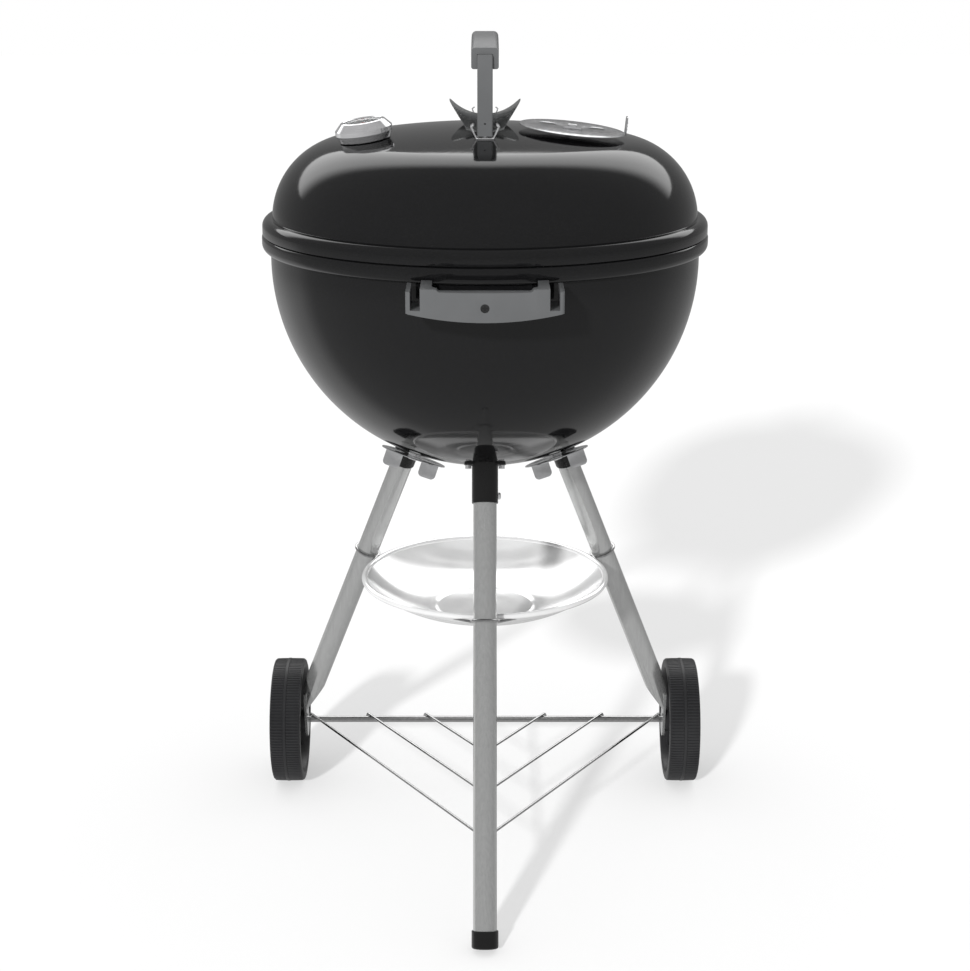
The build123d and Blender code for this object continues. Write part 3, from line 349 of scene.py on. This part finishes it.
def dial_material(centre):
    """Thermometer dial: pale face with a ring of generic tick marks."""
    mat, tn, links, shader = material("dial_face", (0.8, 0.8, 0.78), 0.35)
    vector = coordinates(tn, links)
    shift = next(n for n in tn if n.bl_idname == "ShaderNodeMapping")
    shift.inputs["Location"].default_value = (-centre[0], -centre[1], 0)
    split = tn.new("ShaderNodeSeparateXYZ")
    links.new(vector, split.inputs["Vector"])

    def calc(operation, first, second=None):
        node = tn.new("ShaderNodeMath")
        node.operation = operation
        for slot, value in enumerate((first, second)):
            if value is None:
                continue
            if isinstance(value, (int, float)):
                node.inputs[slot].default_value = value
            else:
                links.new(value, node.inputs[slot])
        return node.outputs["Value"]

    x, y = split.outputs["X"], split.outputs["Y"]
    radius = calc("SQRT", calc("ADD", calc("MULTIPLY", x, x), calc("MULTIPLY", y, y)))
    angle = calc("ARCTAN2", y, x)
    ticks = calc("GREATER_THAN", calc("COSINE", calc("MULTIPLY", angle, 30.0)), 0.80)
    ring = calc("MULTIPLY", calc("GREATER_THAN", radius, 0.0150), calc("LESS_THAN", radius, 0.0182))
    long_ticks = calc("GREATER_THAN", calc("COSINE", calc("MULTIPLY", angle, 10.0)), 0.985)
    long_ring = calc("MULTIPLY", calc("GREATER_THAN", radius, 0.0130), calc("LESS_THAN", radius, 0.0182))
    marks = calc("MAXIMUM", calc("MULTIPLY", ticks, ring), calc("MULTIPLY", long_ticks, long_ring))
    links.new(two_colours(tn, links, marks, (0.80, 0.80, 0.78), (0.03, 0.03, 0.03), 0.4, 0.6),
              shader.inputs["Base Color"])
    paper = noise(tn, links, vector, 700, 2)
    links.new(spread(tn, links, paper, 0.30, 0.42), shader.inputs["Roughness"])
    return mat


def glass():
    """Clear gauge glass with a faint smudge."""
    mat, tn, links, shader = material("gauge_glass", (0.93, 0.95, 0.95), 0.03)
    shader.inputs["Transmission Weight"].default_value = 1.0
    shader.inputs["IOR"].default_value = 1.45
    smudge = noise(tn, links, coordinates(tn, links), 120, 3)
    links.new(spread(tn, links, smudge, 0.02, 0.05), shader.inputs["Roughness"])
    return mat


ENAMEL = enamel()
BLACK_NYLON = plastic("black_nylon", (0.003, 0.003, 0.003), (0.006, 0.006, 0.006), 0.27, 900, 0.04)
HANDLE_NYLON = plastic("handle_nylon", (0.076, 0.078, 0.080), (0.088, 0.090, 0.092), 0.36, 1400, 0.06)
WHEEL_PLASTIC = plastic("wheel_plastic", (0.010, 0.010, 0.011), (0.018, 0.018, 0.019), 0.42, 1100, 0.10)
BLACK_STEEL = plastic("black_steel", (0.012, 0.012, 0.012), (0.022, 0.022, 0.022), 0.38, 1500, 0.08)
DAMPER = metal("damper_aluminium", (0.70, 0.71, 0.72), (0.80, 0.80, 0.81), 0.14, 0.20, 0.93,
               scale=(1, 0.08, 1), frequency=260, ripple=0.012)
PAN_METAL = lathe_metal("pan_aluminium", (0.88, 0.88, 0.88), (0.95, 0.95, 0.95), 0.10, 0.17,
                        (0, KETTLE_Y * MM), ripple=0.01, metallic=0.55)
WIRE = metal("plated_wire", (0.50, 0.50, 0.50), (0.66, 0.66, 0.66), 0.12, 0.24, frequency=300)
GRATE = metal("grate_steel", (0.42, 0.42, 0.42), (0.60, 0.60, 0.60), 0.18, 0.34, frequency=200)
SHIELD = metal("shield_steel", (0.34, 0.35, 0.35), (0.42, 0.43, 0.43), 0.16, 0.24, 0.95,
               scale=(1, 0.06, 1), frequency=300, ripple=0.01)
CHROME = metal("chrome_trim", (0.74, 0.74, 0.75), (0.82, 0.82, 0.83), 0.07, 0.13, 0.84,
               frequency=90, ripple=0.01)
NEEDLE = plastic("needle_paint", (0.45, 0.03, 0.02), (0.55, 0.05, 0.03), 0.35, 900, 0.05)


# ---------------------------------------------------------------- bowl
def shell_profile(outer, inner):
    """A closed profile from the outer line and the inner line, both from the axis outwards."""
    return outer + inner[::-1]


def bowl_line(inset):
    """From the nadir out to the top of the wall, set in from the outer face."""
    turn = math.degrees(math.atan2(WALL_R - BOWL_SIDE, BOWL_DROP))
    line = arc((0, NADIR_Z + BASE_R), BASE_R - inset, -90, -90 + turn, 14)
    line += arc((WALL_R - BOWL_SIDE, WALL_Z), BOWL_SIDE - inset, -90 + turn, 0, 56)[1:]
    line[0] = (0, NADIR_Z + inset)
    return line


def rim_line():
    """From the wall's outer face out round the rolled rim and over to the wall's inner face."""
    low = RIM_TOP_Z - RIM_HEIGHT
    gap = WALL_R + 0.9
    inner_r = RIM_R - SHEET
    line = [(WALL_R, low + 6.0), (WALL_R, RIM_TOP_Z - 3.2)]
    line += arc((WALL_R + 2.0, RIM_TOP_Z - 3.2), 2.0, 180, 90, 4)[1:]
    line += arc((inner_r - 2.8, RIM_TOP_Z - SHEET - 2.8), 2.8, 90, 0, 6)
    line += arc((inner_r - 6.8, low + SHEET + 6.8), 6.8, 0, -90, 10)
    line += [(gap, low + SHEET), (gap, low)]
    line += arc((RIM_R - 8.0, low + 8.0), 8.0, -90, 0, 14)
    line += arc((RIM_R - 4.0, RIM_TOP_Z - 4.0), 4.0, 0, 90, 8)
    line += arc((WALL_R - SHEET + 1.0, RIM_TOP_Z - 1.0), 1.0, 90, 180, 4)
    return line


def bowl_frame(r, azimuth):
    """On the bowl's outside, Z out of the bowl, for a radius and an azimuth in degrees."""
    outward = r - WALL_R + BOWL_SIDE
    z = WALL_Z - math.sqrt(BOWL_SIDE ** 2 - outward ** 2)
    local = frame_matrix((r, 0, z), (outward, 0, z - WALL_Z), (1, 0, 0))
    return KETTLE @ Matrix.Rotation(math.radians(azimuth), 4, "Z") @ local


bowl = lathe("bowl_shell", shell_profile(bowl_line(0) + rim_line(), bowl_line(SHEET)), 288, KETTLE)
cutter = bmesh.new()
for azimuth, disc_turn in BOWL_DAMPERS:
    place = bowl_frame(BOWL_DAMPER_R, azimuth)
    for step in range(4):
        turn = Matrix.Rotation(math.radians(disc_turn + 90 * step), 4, "Z")
        hole = place @ turn @ Matrix.Translation((VENT_CIRCLE * MM, 0, 0))
        cylinder_cutter(cutter, hole, VENT_R, -8, 8)
    cylinder_cutter(cutter, place, RIVET_HOLE_R, -8, 8, 24)
cut(bowl, cutter)
smooth(bowl)
stand_for(bowl, "frame", "black_enamel", ENAMEL, "bowl")


# ---------------------------------------------------------------- lid
def lid_line(inset):
    """From the top of the dome out over the shoulder and down to the flange's level."""
    reach = LID_WALL_R - SHOULDER_R
    rest = DOME_R - SHOULDER_R
    turn = math.degrees(math.asin(reach / rest))
    centre_z = LID_TOP_Z - DOME_R + math.sqrt(rest ** 2 - reach ** 2)
    line = arc((0, LID_TOP_Z - DOME_R), DOME_R - inset, 90, 90 - turn, 24)
    radius = SHOULDER_R - inset
    last = math.degrees(math.asin((FLANGE_Z - centre_z) / radius)) if inset == 0 else 0
    line += arc((reach, centre_z), radius, 90 - turn, last, 48)[1:]
    line[0] = (0, LID_TOP_Z - inset)
    return line


def flange_line():
    """Out over the flange's round, down its skirt, round its hem and back up inside."""
    radius = 9.0
    centre = (FLANGE_R - radius, FLANGE_Z - radius)
    inner = FLANGE_R - SHEET
    hem = FLANGE_R - 3.0
    wall = LID_WALL_R - SHEET
    line = arc((LID_WALL_R + 0.7, FLANGE_Z + 0.7), 0.7, 180, 270, 4)
    line += arc(centre, radius, 90, 0, 16)
    line += [(FLANGE_R, HEM_Z + 0.5)] + arc((FLANGE_R - 0.5, HEM_Z + 0.5), 0.5, 0, -90, 3)[1:]
    line += [(hem, HEM_Z), (hem, HEM_Z + SHEET), (inner, HEM_Z + SHEET)]
    line += arc(centre, radius - SHEET, 0, 90, 12)
    line += [(wall, FLANGE_Z - SHEET)]
    return line


lid_outer = lid_line(0)[:-1] + flange_line()
lid = lathe("lid_shell", shell_profile(lid_outer, lid_line(SHEET)[:-2]), 288, KETTLE)
cutter = bmesh.new()
damper_place = lid_frame(*LID_DAMPER_XY)
for azimuth in LID_HOLE_AZIMUTHS:
    turn = Matrix.Rotation(math.radians(azimuth), 4, "Z")
    hole = damper_place @ turn @ Matrix.Translation((LID_HOLE_CIRCLE * MM, 0, 0))
    cylinder_cutter(cutter, hole, LID_HOLE_R, -10, 10, 48)
cylinder_cutter(cutter, damper_place, RIVET_HOLE_R, -10, 10, 24)
cut(lid, cutter)
smooth(lid)
stand_for(lid, "lid", "black_enamel", ENAMEL, "lid")


# ---------------------------------------------------------------- ash pan
def pan_line(lower):
    """The dish from its centre out to the rolled edge, moved down for its underside."""
    floor = 55.0
    a, b, c = (floor + 3, PAN_FLOOR_Z + 1.6), (102.0, PAN_FLOOR_Z + 13.0), (PAN_R - 6.4, PAN_RIM_Z - 3.6)
    d = 2 * (a[0] * (b[1] - c[1]) + b[0] * (c[1] - a[1]) + c[0] * (a[1] - b[1]))
    sq = [p[0] ** 2 + p[1] ** 2 for p in (a, b, c)]
    centre = ((sq[0] * (b[1] - c[1]) + sq[1] * (c[1] - a[1]) + sq[2] * (a[1] - b[1])) / d,
              (sq[0] * (c[0] - b[0]) + sq[1] * (a[0] - c[0]) + sq[2] * (b[0] - a[0])) / d)
    radius = math.dist(centre, a)
    start = math.degrees(math.atan2(a[1] - centre[1], a[0] - centre[0]))
    end = math.degrees(math.atan2(c[1] - centre[1], c[0] - centre[0]))
    line = [(0, PAN_FLOOR_Z), (floor - 1, PAN_FLOOR_Z), (floor, PAN_FLOOR_Z + 0.15),
            (floor + 1.5, PAN_FLOOR_Z + 0.8)]
    line += arc(centre, radius, start, end, 26)
    return [(r, z - lower) for r, z in line]


roll = arc((PAN_R - 3.4, PAN_RIM_Z - 3.4), 3.4, 200, -140, 26)
pan = lathe("ash_pan_dish", shell_profile(pan_line(0) + roll, pan_line(1.1)), 224, KETTLE)
smooth(pan, 50)
stand_for(pan, "frame", "damper_aluminium", PAN_METAL, "ash_pan")


# ---------------------------------------------------------------- wheels
def wheel_profile():
    """(radius, distance outwards from the wheel's inner face), and which points carry ribs."""
    width = WHEEL_OUT - WHEEL_IN
    tread = 76.7
    centre = width * 0.52
    line = [(4.05, 0), (14.3, 0), (15, 0.7), (15.4, 12.5), (17, 14), (61.5, 14), (64, 11.5), (65.2, 2.2),
            (66.4, 0.5), (67.5, 0), (73.8, 0), (75.4, 0.5), (76.1, 1.4)]
    ribbed = [(tread, 2.4), (tread + 0.25, 8), (tread + 0.35, centre - 2.6)]
    middle = [(tread + 0.1, centre - 2.0), (WHEEL_R - 0.1, centre - 1.5), (WHEEL_R, centre - 1.0),
              (WHEEL_R, centre + 1.0), (WHEEL_R - 0.1, centre + 1.5), (tread + 0.1, centre + 2.0)]
    ribbed_two = [(tread + 0.35, centre + 2.6), (tread + 0.25, width - 8), (tread, width - 2.4)]
    rest = [(76.1, width - 1.4), (75.4, width - 0.5), (73.8, width), (67.5, width), (66.4, width - 0.5),
            (65.2, width - 2.2), (63.5, 20.5), (61.5, 18), (17, 18), (15.4, 19.5), (15, width - 10.4),
            (14.3, width - 9.6), (4.05, width - 9.6)]
    profile = line + ribbed + middle + ribbed_two + rest
    first = set(range(len(line), len(line) + len(ribbed)))
    start = len(line) + len(ribbed) + len(middle)
    second = set(range(start, start + len(ribbed_two)))
    return profile, first | second


def make_wheel(name, side):
    """A moulded wheel with a ribbed tread and flat spokes on both faces of its web."""
    profile, ribbed = wheel_profile()

    def radius(step, index, r):
        if index in ribbed and step % RIB_STEPS > RIB_STEPS // 2:
            return r - GROOVE
        return r

    turn = Matrix.Rotation(math.radians(90 * side), 4, "Y")
    place = Matrix.Translation((side * WHEEL_IN * MM, AXLE_Y * MM, AXLE_Z * MM)) @ turn
    wheel = lathe(name + "_body", profile, RIBS * RIB_STEPS, place, radius)
    bm = bmesh.new()
    bm.from_mesh(wheel.data)
    for step in range(SPOKES):
        for low, high in ((9.5, 14.6), (17.4, 22.5)):
            made = bmesh.ops.create_cube(bm, size=1)
            shape = Matrix.Diagonal((50.0 * MM, 2.0 * MM, (high - low) * MM, 1))
            shift = Matrix.Translation((39.3 * MM, 0, (low + high) / 2 * MM))
            spin = Matrix.Rotation(2 * math.pi * step / SPOKES, 4, "Z")
            bmesh.ops.transform(bm, matrix=place @ spin @ shift @ shape, verts=made["verts"])
    bm.to_mesh(wheel.data)
    bm.free()
    smooth(wheel, 32)
    stand_for(wheel, name, "wheel_plastic", WHEEL_PLASTIC, name)


make_wheel("wheel_right", 1)
make_wheel("wheel_left", -1)


# ---------------------------------------------------------------- CAD nodes: finish and small edge rounds
def finish(node, mat, edge=0.0, angle=38, segments=2):
    """Gives a CAD node its material, smooth shading and, where edge is set, rounded edges in millimetres."""
    obj = nodes[node]
    obj.data.materials.clear()
    obj.data.materials.append(mat)
    for polygon in obj.data.polygons:
        polygon.material_index = 0
    if edge > 0:
        weld = obj.modifiers.new("weld", "WELD")
        weld.merge_threshold = 0.00001
        bevel = obj.modifiers.new("edges", "BEVEL")
        bevel.width = edge * MM
        bevel.segments = segments
        bevel.limit_method = "ANGLE"
        bevel.angle_limit = math.radians(angle)
        bevel.use_clamp_overlap = True
    smooth(obj, angle)


for node, azimuth in LEG_AZIMUTHS.items():
    finish(node, leg_metal(node, azimuth))
for node in ("leg_socket_front", "leg_socket_left", "leg_socket_right", "foot_cap"):
    finish(node, BLACK_NYLON)
for node in ("front_handle", "rear_handle"):
    finish(node, HANDLE_NYLON, 1.0, 35, 3)
finish("lid_handle_grip", HANDLE_NYLON)
finish("lid_handle_arms", HANDLE_NYLON)
for node in ("front_handle_bracket", "rear_handle_bracket"):
    finish(node, BLACK_STEEL, 0.4)
finish("handle_screws", BLACK_STEEL)
for node in ("bottom_damper_rear", "bottom_damper_left", "bottom_damper_right"):
    finish(node, DAMPER, 0.25)
finish("lid_damper", DAMPER, 0.25)
finish("heat_shield", SHIELD)
for node in ("lid_handle_clip_front", "lid_handle_clip_rear"):
    finish(node, CHROME, 0.25)
for node in ("axle", "bottom_shelf", "ash_clip_front", "ash_clip_left", "ash_clip_right"):
    finish(node, WIRE)
for node in ("cooking_grate", "charcoal_grate", "grate_rests"):
    finish(node, GRATE)
for node in ("socket_bolts", "leg_screws", "bottom_damper_rivets", "lid_damper_rivet", "lid_damper_spring",
             "lid_handle_rivets", "thermometer_bezel", "thermometer_stem", "thermometer_nut"):
    finish(node, CHROME)
finish("hub_caps", WHEEL_PLASTIC)
finish("cooking_grate_handles", GRATE)
finish("thermometer_needle", NEEDLE)
finish("thermometer_glass", glass())
gauge_low, gauge_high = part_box("thermometer_dial")
finish("thermometer_dial", dial_material((gauge_low + gauge_high) / 2))


# ---------------------------------------------------------------- stage: floor, world, lights
def floor():
    """Pale paper floor that glows a little, so that the shadows on it stay light."""
    mesh = bpy.data.meshes.new("floor")
    reach = FLOOR_REACH
    corners = [(-reach, -reach, 0), (reach, -reach, 0), (reach, reach, 0), (-reach, reach, 0)]
    mesh.from_pydata(corners, [], [(0, 1, 2, 3)])
    obj = new_object("floor", mesh)
    mat, tn, links, shader = material("floor_paper", (FLOOR_ALBEDO,) * 3, 0.9)
    shader.inputs["Specular IOR Level"].default_value = 0.0
    shader.inputs["Emission Color"].default_value = (1, 1, 1, 1)
    shader.inputs["Emission Strength"].default_value = FLOOR_GLOW
    mesh.materials.append(mat)
    obj.visible_glossy = False


def studio_world():
    """White to the camera, soft white to diffuse light, and a darker room in reflections."""
    world = bpy.data.worlds.new("studio")
    world.use_nodes = True
    bpy.context.scene.world = world
    tn, links = world.node_tree.nodes, world.node_tree.links
    tn.clear()
    out = tn.new("ShaderNodeOutputWorld")
    path = tn.new("ShaderNodeLightPath")
    where = tn.new("ShaderNodeTexCoord")
    split = tn.new("ShaderNodeSeparateXYZ")
    links.new(where.outputs["Generated"], split.inputs["Vector"])

    def calc(operation, first, second):
        node = tn.new("ShaderNodeMath")
        node.operation = operation
        for slot, value in enumerate((first, second)):
            if isinstance(value, (int, float)):
                node.inputs[slot].default_value = value
            else:
                links.new(value, node.inputs[slot])
        return node.outputs["Value"]

    def ramp(value, low, high, to_low=0.0, to_high=1.0):
        node = tn.new("ShaderNodeMapRange")
        node.interpolation_type = "SMOOTHSTEP"
        for key, number in (("From Min", low), ("From Max", high), ("To Min", to_low), ("To Max", to_high)):
            node.inputs[key].default_value = number
        links.new(value, node.inputs["Value"])
        return node.outputs["Result"]

    def product(*values):
        result = values[0]
        for value in values[1:]:
            result = calc("MULTIPLY", result, value)
        return result

    x, y, z = split.outputs["X"], split.outputs["Y"], split.outputs["Z"]
    aside = calc("ABSOLUTE", x, 0)
    # a wide softbox overhead, behind the grill: crisp far edge, soft near edge
    far_edge = calc("ADD", z, calc("SUBTRACT", calc("MULTIPLY", aside, 0.25), 0.44))
    near_edge = calc("SUBTRACT", y, calc("MULTIPLY", aside, 0.15))
    ends = ramp(aside, 0.78, 0.86, 1.0, 0.0)
    softbox = product(ramp(near_edge, *BOX_FADE), ramp(far_edge, 0.0, 0.02), ends, BOX_GLOW)
    # the bright floor behind the grill, left stronger than right
    ground = product(ramp(y, 0.2, 0.5), ramp(y, 0.7, 1.0, 1.0, 0.4), ramp(z, -0.3, -0.05, 1.0, 0.0),
                     ramp(x, -0.3, 0.3, GROUND_LEFT, GROUND_RIGHT))
    below = ramp(z, -0.35, -0.02, BELOW_GLOW, 0.0)
    room = calc("ADD", calc("ADD", softbox, ground), calc("ADD", below, ROOM_GLOW))
    diffuse = calc("MULTIPLY", path.outputs["Is Diffuse Ray"], AMBIENT)
    glossy = calc("MULTIPLY", calc("SUBTRACT", 1.0, path.outputs["Is Diffuse Ray"]), room)
    mixed = calc("ADD", diffuse, glossy)
    seen = calc("MULTIPLY", mixed, calc("SUBTRACT", 1.0, path.outputs["Is Camera Ray"]))
    total = calc("ADD", seen, calc("MULTIPLY", path.outputs["Is Camera Ray"], BACKDROP))
    glow = tn.new("ShaderNodeBackground")
    glow.inputs["Color"].default_value = (1, 1, 1, 1)
    links.new(total, glow.inputs["Strength"])
    links.new(glow.outputs["Background"], out.inputs["Surface"])


floor()
studio_world()

key = bpy.data.lights.new("key", "SUN")
key.energy = KEY_ENERGY
key.angle = math.radians(KEY_ANGLE)
key_object = bpy.data.objects.new("key", key)
bpy.context.scene.collection.objects.link(key_object)
key_object.rotation_euler = Vector(KEY_DIRECTION).to_track_quat("-Z", "Y").to_euler()
key_object.visible_glossy = False

camera = bpy.data.cameras.new("camera")
camera.lens = CAMERA_LENS
camera.sensor_width = CAMERA_SENSOR
camera.clip_start, camera.clip_end = 0.05, 100
camera_object = bpy.data.objects.new("camera", camera)
camera_object.location = CAMERA_PLACE
camera_object.rotation_euler = (math.radians(90 - CAMERA_PITCH), 0, 0)
bpy.context.scene.collection.objects.link(camera_object)
bpy.context.scene.camera = camera_object
bpy.context.scene.view_settings.view_transform = "Standard"
